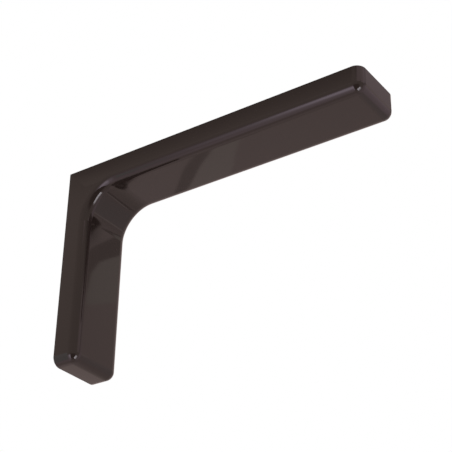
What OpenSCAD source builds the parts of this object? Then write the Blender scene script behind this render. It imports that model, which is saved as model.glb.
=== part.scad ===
// Covered shelf bracket: a steel angle that is screwed to the wall and to the shelf, and one
// moulded plastic cover that snaps over it. The cover is a channel with rounded ridges, bent
// round the inside corner and closed at both ends. The steel is a channel too, the other way up.
//
// Everything is drawn in a corner frame: x runs out from the wall, z runs up and y runs across,
// and the wall plane and the shelf plane meet at x = 0, z = 0. The finished pieces are then
// lifted, so that the origin lies on the wall plane, midway between the two wall screw holes.
// "Run" is a distance along an arm from that corner. "Depth" is a distance out from the wall,
// or down from the shelf.

/* [Overall] */
// Reach of the shelf arm from the wall
shelf_reach = 240; // [200:5:350]
// Drop of the wall arm below the shelf
wall_drop = 150; // [130:5:250]
// Width across the cover
cover_w = 45; // [40:1:60]
// Depth of the cover, from the wall to its front face
cover_depth = 19; // [18:0.5:25]

/* [Cover shell] */
// Wall thickness of the moulding
cover_t = 2.2; // [1.6:0.1:2.8]
// Radius of the long ridges, the end edges and the ball corners
ridge_r = 6.5; // [4:0.5:7]
// Radius of the inside corner between the two arms
fillet_r = 24; // [15:1:40]
// How far the rim stands back from the wall and from the shelf
rim_gap = 0.3; // [0.2:0.1:0.6]

/* [Steel angle] */
// Thickness of the sheet
steel_t = 2; // [1.5:0.1:2.5]
// Outside radius where the web turns into a flange
flange_bend_r = 3; // [2.8:0.1:3.5]
// Outside radius of the bend between the two legs
corner_bend_r = 7; // [6:0.5:10]
// Radius on the flanges' free corners at the ends of the legs
flange_end_r = 4; // [2:0.5:6]
// Radius of the weld bead along the mitre inside each flange
weld_r = 1; // [0.6:0.1:1.4]
// Clearance between the steel and the cover
fit_gap = 0.3; // [0.1:0.05:0.4]

/* [Screw holes] */
// Diameter of the holes in the wall leg
wall_hole_d = 5.5; // [4:0.1:7]
// Distance between the two wall holes
wall_hole_pitch = 80; // [50:5:90]
// Distance of the upper wall hole below the shelf
wall_hole_top = 35; // [30:1:45]
// Diameter of the holes in the shelf leg
shelf_hole_d = 4.5; // [3.5:0.1:6]
// Distance between the two shelf holes
shelf_hole_pitch = 140; // [80:5:150]
// Distance of the first shelf hole from the wall
shelf_hole_start = 60; // [40:1:70]

/* [Ribs and clips] */
// Cross ribs inside the shelf arm
shelf_ribs = 4; // [2:2:6]
// Cross ribs inside the wall arm
wall_ribs = 2; // [2:2:4]
// Thickness of a cross rib
rib_t = 1.4; // [1:0.1:2]
// Length of a clip nib along the arm
nib_len = 6; // [4:0.5:8]
// Depthwise size of the window that a nib snaps into
window_depth = 4; // [3.4:0.1:4.4]
// Strip of steel between a window and the flange's free edge
window_strip = 2.4; // [1.8:0.1:2.8]
// How far a nib reaches into its window
nib_catch = 1; // [0.6:0.1:1.4]

/* [Hidden] */

$fn = 96;

// Overshoot of cutting shapes past the surface that they open
past = 2;

// Height of the shelf plane above the origin
shelf_z = wall_hole_top + wall_hole_pitch / 2;

// The two arms, and what each has of its own
SHELF = 0;
WALL = 1;
ARMS = [SHELF, WALL];
reach = [shelf_reach, wall_drop];
ribs = [shelf_ribs, wall_ribs];

// Depth of the ridges' centre lines, and how far those lines lie from the middle
ridge_depth = cover_depth - ridge_r;
ridge_y = cover_w / 2 - ridge_r;

// Centre of the inside corner's arc, as far from the wall as it is below the shelf
arc_c = cover_depth + fillet_r;

// Height of the flanges: they end where the cover's side walls begin to curve
flange_h = ridge_depth - fit_gap;
steel_half = cover_w / 2 - cover_t - fit_gap;

// Run of the ball corners at an arm's end, and of the end of the steel leg just before them
function ball_run(arm) = reach[arm] - ridge_r;
function leg_run(arm) = ball_run(arm) - fit_gap;

// Length of one bay: the ribs split the straight stretch of an arm into equal bays
function bay(arm) = (leg_run(arm) - arc_c) / (ribs[arm] + 1);

// Lifts a finished piece from the corner frame to the part's own origin
module place() translate([0, 0, shelf_z]) children();

// Turns a flat side view, drawn as (x, z), into a slab centred on the middle plane
module slab(width) rotate([90, 0, 0]) linear_extrude(width, center = true) children();

// Lays a solid drawn as (run, y, depth) along one arm
module on_arm(arm) {
    if (arm == SHELF) mirror([0, 0, 1]) children();
    else rotate([0, 90, 0]) children();
}

// Lays a side view drawn as (run, depth) along one arm
module view_on_arm(arm) {
    if (arm == SHELF) mirror([0, 1]) children();
    else rotate(-90) children();
}

// Side view of the corner block, with the inside arc at the given depth
module corner_view(depth) {
    difference() {
        translate([-past, -arc_c]) square(arc_c + past);
        translate([arc_c, -arc_c]) circle(arc_c - depth);
    }
}

// Carries a section drawn as (y, depth) round the inside corner
module round_corner() {
    translate([arc_c, 0, -arc_c]) rotate([90, 0, 0]) rotate_extrude(angle = 90, start = 90)
        translate([arc_c, 0]) rotate(90) children();
}

// Section across the cover, drawn as (y, depth): flat sides, two round ridges, a flat front
module section(inset) {
    side_y = cover_w / 2 - inset;
    translate([-side_y, -past]) square([2 * side_y, ridge_depth + past]);
    translate([-ridge_y, -past]) square([2 * ridge_y, cover_depth - inset + past]);
    for (side = [-1, 1]) translate([side * ridge_y, ridge_depth]) circle(ridge_r - inset);
}

// Plan of an arm's end, drawn as (run past the balls' centres, y)
module end_plan(inset) {
    side_y = cover_w / 2 - inset;
    translate([-ridge_r, -side_y]) square([ridge_r, 2 * side_y]);
    translate([-inset, -ridge_y]) square([ridge_r, 2 * ridge_y]);
    for (side = [-1, 1]) translate([0, side * ridge_y]) circle(ridge_r - inset);
}

// One arm from the arc to its end, drawn as (run, y, depth). Past the balls' centres come an
// upright end wall with round corners, and below it a round end edge with a ball at each side.
module arm_form(arm, inset) {
    translate([arc_c, 0, 0]) rotate([90, 0, 90])
        linear_extrude(ball_run(arm) - arc_c) section(inset);
    translate([ball_run(arm), 0, -past]) linear_extrude(ridge_depth + past) end_plan(inset);
    translate([ball_run(arm), 0, ridge_depth]) {
        for (side = [-1, 1]) translate([0, side * ridge_y, 0]) sphere(ridge_r - inset);
        rotate([90, 0, 0]) cylinder(h = 2 * ridge_y, r = ridge_r - inset, center = true);
    }
}

// The cover's outside form, inset by a wall thickness. It runs past the wall and shelf planes.
module form(inset) {
    slab(cover_w - 2 * inset) corner_view(ridge_depth / 2);
    round_corner() section(inset);
    for (arm = ARMS) on_arm(arm) arm_form(arm, inset);
}

// Everything out from the wall and below the shelf, but for the gap at the rim
module inside_corner(gap) {
    translate([gap, -cover_w, -gap - 2 * wall_drop])
        cube([2 * shelf_reach, 2 * cover_w, 2 * wall_drop]);
}

// Cross ribs: they bear on the free edges of the flanges
module cross_ribs() {
    for (arm = ARMS, i = [1 : ribs[arm]])
        on_arm(arm) translate([arc_c + i * bay(arm) - rib_t / 2, -cover_w / 2, flange_h])
            cube([rib_t, cover_w, ridge_r + fit_gap]);
}

// Places children in the middle of every second bay, on both sides of both arms
module at_clips() {
    for (arm = ARMS, i = [0 : 2 : ribs[arm]], side = [0, 1])
        on_arm(arm) translate([arc_c + (i + 0.5) * bay(arm), 0, flange_h - window_strip])
            mirror([0, side, 0]) children();
}

// Wedge on the side wall: a slope to ride over the flange, and a flat catch away from the wall
module nib() {
    wall_y = cover_w / 2 - cover_t;
    foot = fit_gap - window_depth;
    rotate([90, 0, 90]) linear_extrude(nib_len, center = true) polygon([
        [wall_y + cover_t / 2, foot],
        [wall_y, foot],
        [wall_y - fit_gap - nib_catch, -fit_gap - nib_catch / 2],
        [wall_y - fit_gap - nib_catch, -fit_gap],
        [wall_y + cover_t / 2, -fit_gap]
    ]);
}

// Window in a flange for one nib
module window() {
    translate([-nib_len / 2 - fit_gap, steel_half - steel_t - past, -window_depth])
        cube([nib_len + 2 * fit_gap, steel_t + 2 * past, window_depth]);
}

module cover() {
    color([0.23, 0.185, 0.18]) place() {
        difference() {
            intersection() {
                form(0);
                inside_corner(rim_gap);
            }
            form(cover_t);
        }
        intersection() {
            form(cover_t / 2);
            cross_ribs();
        }
        at_clips() nib();
    }
}

// Side view of the steel between two depths, with the outside of the bend between the legs
module angle_view(near, far, over) {
    bend = corner_bend_r - near;
    difference() {
        union() {
            corner_view(far);
            for (arm = ARMS) view_on_arm(arm)
                translate([arc_c, -past]) square([leg_run(arm) + over - arc_c, far + past]);
        }
        for (arm = ARMS) view_on_arm(arm)
            translate([-2 * past, -2 * past]) square([2 * reach[arm], near + 2 * past]);
        translate([near, -corner_bend_r]) square(bend);
    }
    intersection() {
        translate([near, -corner_bend_r]) square(bend);
        translate([corner_bend_r, -corner_bend_r]) circle(bend);
    }
}

// Round edges of the steel channel: along both legs, and round the bend between them
module angle_edges(inset, over) {
    r = flange_bend_r - inset;
    turn_r = corner_bend_r - flange_bend_r;
    for (side = [-1, 1]) {
        y = side * (steel_half - flange_bend_r);
        for (arm = ARMS) on_arm(arm) translate([corner_bend_r, y, flange_bend_r])
            rotate([0, 90, 0]) cylinder(h = leg_run(arm) + over - corner_bend_r, r = r);
        translate([corner_bend_r, y, -corner_bend_r]) rotate([90, 0, 0])
            rotate_extrude(angle = 90, start = 90) translate([turn_r, 0]) circle(r);
    }
}

// Form of the steel channel, inset by the sheet's thickness. The hollow runs over its open ends.
module angle_form(inset) {
    over = inset > 0 ? past : 0;
    slab(2 * (steel_half - inset)) angle_view(flange_bend_r, flange_h + over, over);
    slab(2 * (steel_half - flange_bend_r)) angle_view(inset, flange_h + over, over);
    angle_edges(inset, over);
}

// What is cut off the flanges' free corners at the end of one leg
module leg_end_cut(arm) {
    translate([leg_run(arm) - flange_end_r, 0, flange_h - flange_end_r]) difference() {
        translate([0, -steel_half - past, 0])
            cube([flange_end_r + past, 2 * (steel_half + past), flange_end_r + past]);
        rotate([90, 0, 0]) cylinder(h = 3 * cover_w, r = flange_end_r, center = true);
    }
}

// Two screw holes through one leg's web
module hole_pair(start, pitch, d) {
    for (i = [0, 1]) translate([start + i * pitch, 0, -past])
        cylinder(h = steel_t + 2 * past, d = d);
}

// Bead along the mitre inside one flange, from the web to just short of the arc
module weld_bead() {
    from = steel_t + weld_r;
    to = arc_c - (arc_c - flange_h) / sqrt(2) - weld_r;
    translate([from, 0, -from]) {
        sphere(weld_r);
        rotate([0, 135, 0]) cylinder(h = (to - from) * sqrt(2), r = weld_r);
    }
    translate([to, 0, -to]) sphere(weld_r);
}

module steel_bracket() {
    color([0.7, 0.71, 0.73]) place() {
        difference() {
            angle_form(0);
            angle_form(steel_t);
            for (arm = ARMS) on_arm(arm) leg_end_cut(arm);
            at_clips() window();
            on_arm(SHELF) hole_pair(shelf_hole_start, shelf_hole_pitch, shelf_hole_d);
            on_arm(WALL) hole_pair(wall_hole_top, wall_hole_pitch, wall_hole_d);
        }
        for (side = [-1, 1]) translate([0, side * (steel_half - steel_t), 0]) weld_bead();
    }
}

cover();
steel_bracket();
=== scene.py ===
# %% [markdown]
# # A covered shelf bracket
# The bracket is two pieces. A folded steel angle carries the shelf, and a glossy dark brown
# plastic cover clips over it. Both come from CAD as finished solids, so this lesson is about
# what makes them look real: the plastic, the zinc-plated steel, the camera, and the pale
# table, the dim room and the two light panels that the gloss mirrors.
#
# All lengths are in metres. X runs out from the wall, Y runs along the wall and Z runs up.
# The origin lies on the wall plane, midway between the two wall screws.

# %% Load the solids
import math

import bpy
from mathutils import Matrix, Vector


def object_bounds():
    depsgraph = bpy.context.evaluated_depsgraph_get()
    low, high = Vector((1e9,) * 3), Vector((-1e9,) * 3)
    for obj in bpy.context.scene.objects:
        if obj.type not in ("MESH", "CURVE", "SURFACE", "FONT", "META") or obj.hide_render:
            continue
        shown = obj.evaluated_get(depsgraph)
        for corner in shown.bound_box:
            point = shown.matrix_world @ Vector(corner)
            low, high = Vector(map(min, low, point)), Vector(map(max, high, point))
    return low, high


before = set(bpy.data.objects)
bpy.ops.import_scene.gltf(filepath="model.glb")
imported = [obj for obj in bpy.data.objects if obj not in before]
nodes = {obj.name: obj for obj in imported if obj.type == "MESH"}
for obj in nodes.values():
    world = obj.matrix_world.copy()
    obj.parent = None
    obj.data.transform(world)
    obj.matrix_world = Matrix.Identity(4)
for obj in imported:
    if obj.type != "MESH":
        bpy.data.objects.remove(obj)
CAD_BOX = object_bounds()
SHELF_Z = CAD_BOX[1].z
print("solids:", sorted(nodes), "box:", [tuple(round(v, 4) for v in c) for c in CAD_BOX])

# %% [markdown]
# ## Shader maths
# A material is a graph of nodes. Wired by hand, that is many lines of links. So one small
# class wraps a socket, and Python's own operators on it add the Math nodes. A second class
# holds the graph, and its one method `node` makes any node of any kind.

# %% A socket with operators
class Value:
    """One output socket. + - * on it add Math nodes, and plain numbers may stand on either side."""

    def __init__(self, graph, socket):
        self.graph = graph
        self.socket = socket

    def math(self, operation, *others):
        inputs = dict(enumerate((self, *others)))
        return self.graph.node("ShaderNodeMath", {"operation": operation}, inputs)[0]

    def __add__(self, other): return self.math("ADD", other)
    def __sub__(self, other): return self.math("SUBTRACT", other)
    def __mul__(self, other): return self.math("MULTIPLY", other)
    __radd__ = __add__
    __rmul__ = __mul__

    def __rsub__(self, other):
        settings = {"operation": "SUBTRACT"}
        return self.graph.node("ShaderNodeMath", settings, {0: other, 1: self})[0]

    def least(self, other): return self.math("MINIMUM", other)
    def most(self, other): return self.math("MAXIMUM", other)

    def ramp(self, low, high):
        """0 below low, 1 above high, and a soft S between them."""
        settings = {"interpolation_type": "SMOOTHSTEP"}
        inputs = {"Value": self, "From Min": low, "From Max": high}
        return self.graph.node("ShaderNodeMapRange", settings, inputs)["Result"]

    def within(self, low, high, soft):
        """1 between low and high, 0 outside, and edges that fade over soft on both sides."""
        return self.ramp(low - soft, low + soft) * (1.0 - self.ramp(high - soft, high + soft))


# %% A graph of nodes
class Graph:
    """A node tree. node() adds a node, wires it and gives its outputs as Values."""

    def __init__(self, tree):
        self.tree = tree

    def node(self, kind, settings=None, inputs=None):
        made = self.tree.nodes.new(kind)
        for name, value in (settings or {}).items():
            setattr(made, name, value)
        for name, value in (inputs or {}).items():
            self.feed(made.inputs[name], value)
        return {key: Value(self, out) for i, out in enumerate(made.outputs) for key in (i, out.name)}

    def feed(self, socket, value):
        """Links a Value to the socket, or writes a number, a vector or a colour there."""
        if isinstance(value, Value):
            self.tree.links.new(value.socket, socket)
        elif socket.type == "RGBA":
            socket.default_value = (*value, 1.0)
        else:
            socket.default_value = value

    def blend(self, factor, first, second):
        """Colour first where factor is 0, second where it is 1."""
        return self.node("ShaderNodeMix", {"data_type": "RGBA"}, {0: factor, 6: first, 7: second})[2]


# %% A material
class Paint(Graph):
    """A new material with a Principled shader, and the patterns that this lesson needs."""

    def __init__(self, name):
        self.material = bpy.data.materials.new(name)
        self.material.use_nodes = True
        super().__init__(self.material.node_tree)
        self.place = self.node("ShaderNodeTexCoord")["Object"]

    def axes(self):
        """The object coordinates x, y and z as three Values."""
        parts = self.node("ShaderNodeSeparateXYZ", None, {0: self.place})
        return parts["X"], parts["Y"], parts["Z"]

    def stretch(self, scale):
        """Object coordinates times scale, one factor for each axis."""
        return self.node("ShaderNodeVectorMath", {"operation": "MULTIPLY"}, {0: self.place, 1: scale})[0]

    def noise(self, scale, detail, where=None):
        """Smooth noise, mostly from 0.3 to 0.7. scale counts its features along one metre."""
        inputs = {"Vector": where or self.place, "Scale": scale, "Detail": detail}
        return self.node("ShaderNodeTexNoise", None, inputs)[0]

    def bump(self, height, depth, under=None):
        """A Bump node. height runs from 0 to 1, and depth says how many metres that 1 is."""
        inputs = {"Height": height, "Distance": depth}
        if under is not None:
            inputs["Normal"] = under
        return self.node("ShaderNodeBump", None, inputs)[0]

    def set(self, **sockets):
        """Feeds the shader's own sockets. A name here has _ for each space."""
        shader = self.tree.nodes["Principled BSDF"]
        for name, value in sockets.items():
            self.feed(shader.inputs[name.replace("_", " ")], value)


# %% [markdown]
# ## The cover's plastic
# The cover is moulded from plastic that is dyed right through, in a polished mould. So its
# colour is even, with only the faintest clouding, and it is nearly black by itself. Most of
# the brown that the eye sees is the pale room, mirrored weakly in the gloss.
#
# Two shallow shapes bend the mirror. As thick and thin parts of the wall cool, they shrink
# by different amounts, which leaves a waviness of a few hundredths of a millimetre. And each
# side of the open channel bows out a little between its rim and its ridge, which shades it
# from dark to light in the picture. Both are far too shallow for the solid, so they are bumps.

# %% Dark brown gloss
BROWN = (0.0208, 0.0133, 0.0116)
BROWN_DARK = (0.0184, 0.0116, 0.0101)
CLOUDS_PER_METRE, HAZE_PER_METRE = 18.0, 55.0
GLOSS_ROUGHNESS, HAZE_ROUGHNESS = 0.04, 0.02

plastic = Paint("cover_plastic")
clouds = plastic.noise(CLOUDS_PER_METRE, detail=3.0)
haze = plastic.noise(HAZE_PER_METRE, detail=4.0)
plastic.set(
    Base_Color=plastic.blend(clouds, BROWN_DARK, BROWN),
    Roughness=GLOSS_ROUGHNESS + HAZE_ROUGHNESS * haze,
    IOR=1.5,
)
print("plastic:", len(plastic.tree.nodes), "nodes")

# %% Crowned sides and a faint waviness
CROWN_WIDTH, CROWN_DEPTH = 0.016, 0.00008
WAVES_PER_METRE, WAVE_DEPTH = 38.0, 0.00004

x, _, z = plastic.axes()
# the way from the nearer rim, up to the crown's width, and the same way from -1 to 1
from_rim = x.least(SHELF_Z - z).least(CROWN_WIDTH)
across = from_rim * (2.0 / CROWN_WIDTH) - 1.0
# a parabola: 0 at the rim and at the ridge, and 1 midway
crown = 1.0 - across * across
waves = plastic.noise(WAVES_PER_METRE, detail=1.0)
plastic.set(Normal=plastic.bump(waves, WAVE_DEPTH, under=plastic.bump(crown, CROWN_DEPTH)))
print("crown over", CROWN_WIDTH, "m from each rim")

# %% [markdown]
# ## The steel angle's zinc
# The steel is plated with zinc, which leaves a bluish grey metal with soft patches where the
# crystals grew, and fine lines from rolling. The lines run along each leg, so the noise that
# makes them is squeezed across the leg and left long along it.

# %% Zinc-plated sheet
ZINC_LIGHT = (0.64, 0.70, 0.74)
ZINC_DARK = (0.46, 0.51, 0.55)
SPANGLES_PER_METRE = 140.0
ZINC_ROUGHNESS, SPANGLE_ROUGHNESS = 0.30, 0.18
ROLLING_LINES = (60.0, 3000.0, 60.0)
LINE_DEPTH = 0.00002

zinc = Paint("zinc_steel")
spangle = zinc.noise(SPANGLES_PER_METRE, detail=3.0)
rolled = zinc.noise(scale=1.0, detail=2.0, where=zinc.stretch(ROLLING_LINES))
zinc.set(
    Base_Color=zinc.blend(spangle, ZINC_DARK, ZINC_LIGHT),
    Metallic=1.0,
    Roughness=ZINC_ROUGHNESS + SPANGLE_ROUGHNESS * spangle,
    Normal=zinc.bump(rolled, LINE_DEPTH),
)
print("zinc:", len(zinc.tree.nodes), "nodes")

# %% Put the finishes on the solids
for name, paint in (("cover", plastic), ("steel_bracket", zinc)):
    for slot in nodes[name].material_slots:
        slot.material = paint.material
    print(name, "has", len(nodes[name].data.polygons), "faces in", paint.material.name)

# %% [markdown]
# ## The camera
# The photograph looks up at the bracket from below its left side. Its angle and its lens were
# found by matching the solid's edges with the picture's. The numbers are two turns round the
# bracket and a roll in degrees, a distance from the corner of wall and shelf, a shift of the
# camera to its right and up, and a focal length in pixels.

# %% The camera's three directions
AZIMUTH, ELEVATION, ROLL = (math.radians(v) for v in (35.3287, -29.9269, 1.1382))

back = Vector((
    math.sin(AZIMUTH) * math.cos(ELEVATION),
    -math.cos(AZIMUTH) * math.cos(ELEVATION),
    math.sin(ELEVATION),
))
level = Vector((0, 0, 1)).cross(back).normalized()
upright = back.cross(level)
right = math.cos(ROLL) * level + math.sin(ROLL) * upright
up = math.cos(ROLL) * upright - math.sin(ROLL) * level
print("the camera looks along", tuple(round(-v, 3) for v in back))

# %% Camera at the photograph's angle
DISTANCE = 0.92394
SHIFT_RIGHT, SHIFT_UP = 0.10001, -0.02795
FOCAL_PIXELS, PICTURE_PIXELS, SENSOR_MM = 1254.33, 452, 36.0

camera_data = bpy.data.cameras.new("camera")
camera_data.sensor_width = SENSOR_MM
camera_data.lens = SENSOR_MM * FOCAL_PIXELS / PICTURE_PIXELS
camera = bpy.data.objects.new("camera", camera_data)
camera.location = Vector((0, 0, SHELF_Z)) + back * DISTANCE + right * SHIFT_RIGHT + up * SHIFT_UP
camera.rotation_euler = Matrix((right, up, back)).transposed().to_euler()
bpy.context.scene.collection.objects.link(camera)
bpy.context.scene.camera = camera
print("camera at", tuple(round(v, 3) for v in camera.location), "lens", round(camera_data.lens, 1))

# %% [markdown]
# ## The floor
# The picture shows the bracket on plain white. A pale floor lies well below it and keeps a
# soft shadow. The camera of the photograph looks up and past it.

# %% Pale floor
FLOOR_Z, FLOOR_HALF = -0.75, 12.0
FLOOR_COLOUR = (0.85, 0.85, 0.85)
SQUARE, ONE_FACE = ((-1, -1), (1, -1), (1, 1), (-1, 1)), [(0, 1, 2, 3)]


def sheet(name, corners, faces, paint):
    """A flat mesh from its corners and faces, as stage and not as part of the bracket."""
    mesh = bpy.data.meshes.new(name)
    mesh.from_pydata(corners, [], faces)
    mesh.materials.append(paint.material)
    made = bpy.data.objects.new(name, mesh)
    bpy.context.scene.collection.objects.link(made)
    return made


floor_paint = Paint("floor")
floor_paint.set(Base_Color=FLOOR_COLOUR, Roughness=0.8)
corners = [(x * FLOOR_HALF, y * FLOOR_HALF, FLOOR_Z) for x, y in SQUARE]
floor = sheet("floor", corners, ONE_FACE, floor_paint)
floor.visible_glossy = False
print("floor at", FLOOR_Z)

# %% [markdown]
# ## What the gloss mirrors
# Gloss shows what stands around it. Read backwards, the light and dark patches in the picture
# tell of a bracket that lies on its far side over a pale table, in a dim room, between two
# light panels. So those are built here, in the bracket's own frame, as cards that glow by
# themselves. Only reflections see them: the camera, the shadows and the soft light don't.
# Real lamps could stand there too, but a lamp would also light the matt parts, and a card
# can carry a drawn outline and a soft edge.

# %% A card that glows
def glow_card(name, corners, faces, glow, strength=1.0, fade=None):
    """A card for reflections only. glow(paint) is its colour and fade(paint) its cover, 0 to 1."""
    paint = Paint(name)
    paint.set(Base_Color=(0, 0, 0), Specular_IOR_Level=0.0)
    paint.set(Emission_Color=glow(paint), Emission_Strength=strength)
    if fade:
        paint.set(Alpha=fade(paint))
    card = sheet(name, corners, faces, paint)
    card.visible_camera = False
    card.visible_diffuse = False
    card.visible_transmission = False
    card.visible_shadow = False
    print(name, "has", len(corners), "corners")


# %% [markdown]
# The table stands upright behind the bracket, 30 cm away, because the bracket in the picture
# was laid down and here it hangs on its wall. Its light isn't even. Each zone below is a soft
# rectangle where the table shows another tint: its reach in x and in z, how wide its edges
# fade, and the tint. Where zones overlap, the later one lies on top.

# %% The pale table
TABLE_Y, TABLE_HALF = 0.30, 1.6
TABLE_GLOW = (0.64, 0.50, 0.48)
FAR = 9.0
TABLE_ZONES = {
    "below": ((-FAR, FAR), (-FAR, -0.40), 0.10, (0.68, 0.53, 0.53)),
    "middle": ((0.18, FAR), (-0.30, 0.045), 0.04, (0.64, 0.53, 0.525)),
    "below left": ((-FAR, 0.08), (-FAR, -0.40), 0.05, (0.75, 0.585, 0.57)),
    "low left": ((-FAR, 0.08), (-0.40, -0.245), 0.04, (0.60, 0.475, 0.445)),
    "by the shelf's end": ((0.43, FAR), (-FAR, 0.19), 0.04, (0.90, 0.69, 0.76)),
    "top corner": ((0.35, FAR), (0.275, FAR), 0.02, (0.49, 0.385, 0.40)),
    "far corner": ((0.60, FAR), (0.45, FAR), 0.05, (0.85, 0.66, 0.70)),
    "over the wall arm": ((0.296, 0.335), (0.250, 0.300), 0.01, (0.42, 0.34, 0.325)),
}


def table_glow(paint):
    """The table's tint with each zone's tint laid over it in turn."""
    x, _, z = paint.axes()
    glow = TABLE_GLOW
    for x_range, z_range, soft, tint in TABLE_ZONES.values():
        glow = paint.blend(x.within(*x_range, soft) * z.within(*z_range, soft), glow, tint)
    return glow


corners = [(x * TABLE_HALF, TABLE_Y, z * TABLE_HALF) for x, z in SQUARE]
glow_card("table", corners, ONE_FACE, table_glow)

# %% [markdown]
# The room is a box on the table, with one face left open where the table is. It is dim, and
# nearly dark low on the right, between the two panels. Its ceiling is darker than its walls,
# which shades the side of the shelf arm. One tint blends softly into the next, because a hard
# edge in the room would show as a line in the gloss.

# %% The dim room
ROOM_HALF, ROOM_FRONT = 1.6, -2.24
ROOM_LEFT, ROOM_DARK = (0.55, 0.43, 0.46), (0.14, 0.11, 0.10)
ROOM_HIGH, ROOM_TOP = (0.52, 0.43, 0.39), (0.20, 0.17, 0.155)

# where each blend starts and ends, in metres
LEFT_TO_RIGHT, FRONT_TO_TABLE = (-0.35, 0.15), (-1.4, -0.3)
LOW_TO_HIGH, HIGH_TO_TOP = (-0.4, 0.4), (1.64, 1.94)
TOP_SLOPE = 0.5


def dim_room(paint, x, y, z):
    """Low down, left blends into right, and both into the table's tint on the way to the table.

    High up, the walls blend into the ceiling where the height plus half the way from the front
    wall passes a limit. At mid height the low part blends into the high part.
    """
    front = paint.blend(x.ramp(*LEFT_TO_RIGHT), ROOM_LEFT, ROOM_DARK)
    low = paint.blend(y.ramp(*FRONT_TO_TABLE), front, TABLE_GLOW)
    slope = z + TOP_SLOPE * (y - ROOM_FRONT)
    high = paint.blend(slope.ramp(*HIGH_TO_TOP), ROOM_HIGH, ROOM_TOP)
    return paint.blend(z.ramp(*LOW_TO_HIGH), low, high)


# %% [markdown]
# Light falls on four places in the room. On the left half of its floor and high on its right
# wall, it softens the ridges and the upright edge at the shelf's end. The left wall and the
# ceiling hardly show from the photograph's side. The steel mirrors them, and without them it
# would look dull from behind and from above.

# %% Light on the room's floor
SPOT_TINT = (1.02, 0.79, 0.87)
SPOT_X, SPOT_Y, SPOT_Z = (-0.55, 0.0), (-0.75, -0.1), (-1.5, -1.2)
SPOT_WEAK, SPOT_WEAK_X = 0.55, (-1.3, -0.8)


def floor_light(x, y, z):
    """Ramps down to the right, to the table and upwards, all multiplied, and weaker far left."""
    spot = (1.0 - x.ramp(*SPOT_X)) * (1.0 - y.ramp(*SPOT_Y)) * (1.0 - z.ramp(*SPOT_Z))
    return spot * (SPOT_WEAK + (1.0 - SPOT_WEAK) * x.ramp(*SPOT_WEAK_X))


# %% Light on the room's right wall
STRIP_TINT = (0.90, 0.69, 0.70)
RIGHT_WALL_X = (0.9, 1.55)
STRIP_Z, STRIP_SOFT, STRIP_Y = (0.62, 0.80), 0.03, (-0.62, -0.15)
UPPER_SLOPE, UPPER_Z = 0.25, (0.88, 1.0)


def right_wall_light(x, y, z):
    """A level strip that fades in towards the table, plus all that lies above a sloping line."""
    strip = z.within(*STRIP_Z, STRIP_SOFT) * y.ramp(*STRIP_Y)
    upper = (z + UPPER_SLOPE * y).ramp(*UPPER_Z)
    return x.ramp(*RIGHT_WALL_X) * (strip + upper)


# %% Light on the room's left wall and ceiling
LEFT_WALL_TINT, CEILING_TINT = (0.66, 0.65, 0.65), (0.95, 0.93, 0.92)
LEFT_WALL_X, LEFT_WALL_Z = (-1.58, -1.5), (0.5, 0.9)
CEILING_X, CEILING_SOFT = (-1.0, 1.0), 0.3
CEILING_Y, CEILING_Z = (-1.4, -0.8), (1.5, 1.58)


def left_wall_light(x, y, z):
    """A ramp that falls away from the left wall, times a ramp down above the bracket."""
    return (1.0 - x.ramp(*LEFT_WALL_X)) * (1.0 - z.ramp(*LEFT_WALL_Z))


def ceiling_light(x, y, z):
    """A ramp up to the ceiling, times a middle part of x, times a ramp down to the front wall."""
    return z.ramp(*CEILING_Z) * x.within(*CEILING_X, CEILING_SOFT) * y.ramp(*CEILING_Y)


# %% Build the room
ROOM_LIGHTS = (
    (floor_light, SPOT_TINT),
    (right_wall_light, STRIP_TINT),
    (left_wall_light, LEFT_WALL_TINT),
    (ceiling_light, CEILING_TINT),
)


def room_glow(paint):
    """The dim room's tint with each light's tint laid over it in turn."""
    x, y, z = paint.axes()
    glow = dim_room(paint, x, y, z)
    for place, tint in ROOM_LIGHTS:
        glow = paint.blend(place(x, y, z), glow, tint)
    return glow


ends, front_to_table = (-ROOM_HALF, ROOM_HALF), (ROOM_FRONT, TABLE_Y)
corners = [(x, y, z) for z in ends for y in front_to_table for x in ends]
# floor, ceiling, front, left and right, and no face where the table is
walls = [(0, 1, 3, 2), (4, 6, 7, 5), (0, 4, 5, 1), (0, 2, 6, 4), (1, 5, 7, 3)]
glow_card("room", corners, walls, room_glow)
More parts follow.
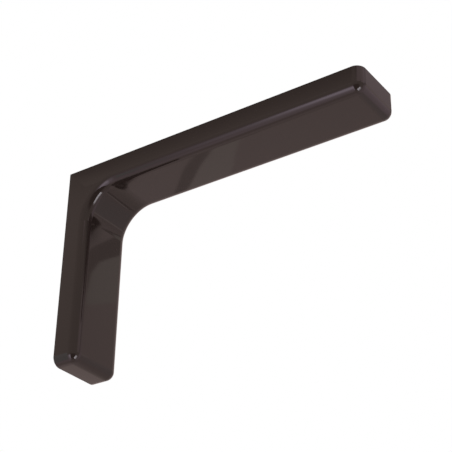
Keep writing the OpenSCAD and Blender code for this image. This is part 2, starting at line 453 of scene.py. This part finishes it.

# %% [markdown]
# Patches of pale, grey and black card lie on the table. The pale, bright and grey ones are
# painted light and painted shade on the table, which the gloss shows as the curved dark band
# with a lighter patch beside it on the underside of the shelf arm and again on the wall arm,
# and as the fine lines across the inside corner and down the wall arm. The two black ones are
# a painted reflection of the arms, for the two dark wedges at the corner: on the real thing the
# wedges are most likely the arms mirroring each other. The straight arms of the solid show them
# a little too small, and two black cards fill them out.
#
# Each card is a tint and an outline in x and z. The cards lie a millimetre off the table, so
# that they cover it.

# %% Painted shade, light and reflection on the table
# pale is painted light, grey and dark are painted shade, bright is painted highlight lines
PAINTED_LIGHT, PAINTED_LIGHT_WALL = (0.745, 0.615, 0.575), (0.685, 0.585, 0.54)
PAINTED_SHADE, PAINTED_SHADE_SHELF = (0.36, 0.285, 0.27), (0.41, 0.325, 0.31)
PAINTED_SHADE_LINE = (0.22, 0.175, 0.165)
# black is a painted reflection of the arms at the inside corner
PAINTED_HIGHLIGHT_LINE, PAINTED_ARM_REFLECTION = (0.96, 0.795, 0.75), (0.03, 0.025, 0.025)
PAINTED_TABLE_PATCHES = {
    # painted shade and painted light: each arm's dark band and the lighter patch beside it
    "dark_shelf": (PAINTED_SHADE_SHELF, (
        (-0.162, -0.150), (-0.150, -0.150), (-0.137, -0.165), (-0.128, -0.178), (-0.119, -0.191),
        (-0.104, -0.206), (-0.125, -0.208), (-0.138, -0.198), (-0.146, -0.188), (-0.151, -0.175))),
    "light_shelf": (PAINTED_LIGHT, (
        (-0.150, -0.150), (-0.090, -0.150), (-0.081, -0.172), (-0.078, -0.188), (-0.068, -0.212),
        (-0.104, -0.206), (-0.119, -0.191), (-0.128, -0.178), (-0.137, -0.165))),
    "dark_wall": (PAINTED_SHADE, (
        (0.255, 0.222), (0.290, 0.222), (0.302, 0.212), (0.307, 0.190), (0.309, 0.160), (0.318, 0.160),
        (0.318, 0.236), (0.302, 0.244), (0.255, 0.248))),
    "light_wall": (PAINTED_LIGHT_WALL, (
        (0.255, 0.222), (0.290, 0.222), (0.302, 0.212), (0.306, 0.190), (0.306, 0.175), (0.255, 0.165))),
    # the bright lines are painted highlights, with painted shade beside them
    "line_upper": (PAINTED_HIGHLIGHT_LINE, ((0.138, -0.262), (0.152, -0.262), (0.127, -0.325), (0.113, -0.325))),
    "dark_upper": (PAINTED_SHADE, ((0.138, -0.262), (0.113, -0.325), (0.080, -0.325), (0.105, -0.262))),
    "line_lower": (PAINTED_HIGHLIGHT_LINE, ((0.325, 0.066), (0.325, 0.046), (0.400, 0.046), (0.400, 0.066))),
    # the two black wedges are a painted reflection of the arms
    "wedge_wall": (PAINTED_ARM_REFLECTION, (
        (0.311, 0.254), (0.305, 0.262), (0.302, 0.266), (0.297, 0.268), (0.296, 0.275),
        (0.345, 0.282), (0.385, 0.245), (0.388, 0.150), (0.378, 0.138), (0.332, 0.218))),
    "wedge_shelf": (PAINTED_ARM_REFLECTION, (
        (-0.090, -0.298), (-0.130, -0.269), (-0.175, -0.235), (-0.210, -0.204), (-0.221, -0.199),
        (-0.221, -0.185), (-0.230, -0.185), (-0.230, -0.210), (-0.150, -0.280), (-0.090, -0.315))),
    "line_wall": (PAINTED_SHADE_LINE, (
        (0.460, 0.300), (0.470, 0.325), (0.550, 0.360), (0.900, 0.545),
        (0.900, 0.450), (0.640, 0.320), (0.560, 0.285), (0.500, 0.262))),
}
CARD_LIFT = 0.001

for name, (tint, outline) in PAINTED_TABLE_PATCHES.items():
    corners = [(x, TABLE_Y - CARD_LIFT, z) for x, z in outline]
    glow_card(name, corners, [tuple(range(len(outline)))], lambda paint: tint)

# %% [markdown]
# The left light panel makes the long soft line on the near edge of the shelf arm. Its right
# edge is sharp. Its left edge fades first slowly and then fast, and so does its foot, which
# is why the line in the picture grows from nothing at the corner to full at the shelf's end.

# %% The left light panel
LEFT_Y = -0.85
LEFT_X, LEFT_Z = (-0.62, 0.055), (-1.5, 0.05)
LEFT_TINT, LEFT_STRENGTH = (1.0, 0.83, 0.98), 2.7
SLOW_SHARE, SLOW_X, FAST_X = 0.3, (-0.62, -0.30), (-0.35, -0.17)
FOOT_LIT, FOOT_Z, TOP_Z = 0.42, (-1.05, -0.30), (-0.36, 0.02)


def left_fade(paint):
    """A slow and a fast ramp sideways, times a ramp down at the top, times a foot that stays half lit."""
    x, _, z = paint.axes()
    sideways = SLOW_SHARE * x.ramp(*SLOW_X) + (1.0 - SLOW_SHARE) * x.ramp(*FAST_X)
    foot = FOOT_LIT + (1.0 - FOOT_LIT) * z.ramp(*FOOT_Z)
    return sideways * (1.0 - z.ramp(*TOP_Z)) * foot


corners = [(LEFT_X[i], LEFT_Y, LEFT_Z[j]) for i, j in ((0, 0), (1, 0), (1, 1), (0, 1))]
glow_card("left_panel", corners, ONE_FACE, lambda paint: LEFT_TINT, LEFT_STRENGTH, left_fade)

# %% [markdown]
# The right light panel stands low and square to the inside corner. It makes the bright
# crescent there and the sparks on the rounded corners at both ends.

# %% The right light panel
RIGHT_TINT, RIGHT_STRENGTH = (1.0, 0.94, 1.0), 6.0
RIGHT_MIDDLE = Vector((0.795, 0, -0.59))
RIGHT_ALONG = Vector((0.64, 0, 0.77))
RIGHT_HALF, RIGHT_FADE = 0.42, (0.12, 0.40)
RIGHT_FRONT, RIGHT_BACK = (-0.55, -0.36), 0.10


def right_fade(paint):
    """A ramp down along the panel towards its upper end, times a ramp down towards the table."""
    x, y, z = paint.axes()
    lengthways = RIGHT_ALONG.x * (x - RIGHT_MIDDLE.x) + RIGHT_ALONG.z * (z - RIGHT_MIDDLE.z)
    return (1.0 - lengthways.ramp(*RIGHT_FADE)) * (1.0 - y.ramp(RIGHT_FRONT[1], RIGHT_BACK))


low_end, high_end = (RIGHT_MIDDLE + RIGHT_ALONG * t for t in (-RIGHT_HALF, RIGHT_HALF))
corners = [
    (low_end.x, RIGHT_FRONT[0], low_end.z), (high_end.x, RIGHT_FRONT[1], high_end.z),
    (high_end.x, RIGHT_BACK, high_end.z), (low_end.x, RIGHT_BACK, low_end.z),
]
glow_card("right_panel", corners, ONE_FACE, lambda paint: RIGHT_TINT, RIGHT_STRENGTH, right_fade)

# %% [markdown]
# ## Soft light
# The world lights everything evenly, and one large lamp from the upper left gives the matt
# parts a direction. Together they light a surface about as much as its colour says. To the
# camera the world is pure white, which gives the picture its plain background.

# %% The world
SOFT_LIGHT, WHITE = (0.86, 0.86, 0.86), (1.0, 1.0, 1.0)

world = bpy.data.worlds.new("studio")
world.use_nodes = True
world.node_tree.nodes.clear()
sky = Graph(world.node_tree)
rays = sky.node("ShaderNodeLightPath")
shown = rays["Is Camera Ray"].most(rays["Is Glossy Ray"]).most(rays["Is Transmission Ray"])
soft = sky.node("ShaderNodeBackground", None, {"Color": SOFT_LIGHT})[0]
white = sky.node("ShaderNodeBackground", None, {"Color": WHITE})[0]
mixed = sky.node("ShaderNodeMixShader", None, {0: shown, 1: soft, 2: white})[0]
sky.node("ShaderNodeOutputWorld", None, {"Surface": mixed})
bpy.context.scene.world = world
bpy.context.scene.view_settings.view_transform = "Standard"
print("world:", len(sky.tree.nodes), "nodes")

# %% One large lamp
LAMP_AT, LAMP_AIM = Vector((-0.5, -0.9, 1.0)), Vector((0.1, 0, 0.03))
LAMP_SIZE, LAMP_WATTS = 0.6, 4.0

lamp_data = bpy.data.lights.new("lamp", "AREA")
lamp_data.size = LAMP_SIZE
lamp_data.energy = LAMP_WATTS
lamp = bpy.data.objects.new("lamp", lamp_data)
lamp.location = LAMP_AT
lamp.rotation_euler = (LAMP_AT - LAMP_AIM).to_track_quat("Z", "Y").to_euler()
lamp.visible_glossy = False
bpy.context.scene.collection.objects.link(lamp)
print("lamp of", LAMP_WATTS, "W at", tuple(LAMP_AT))
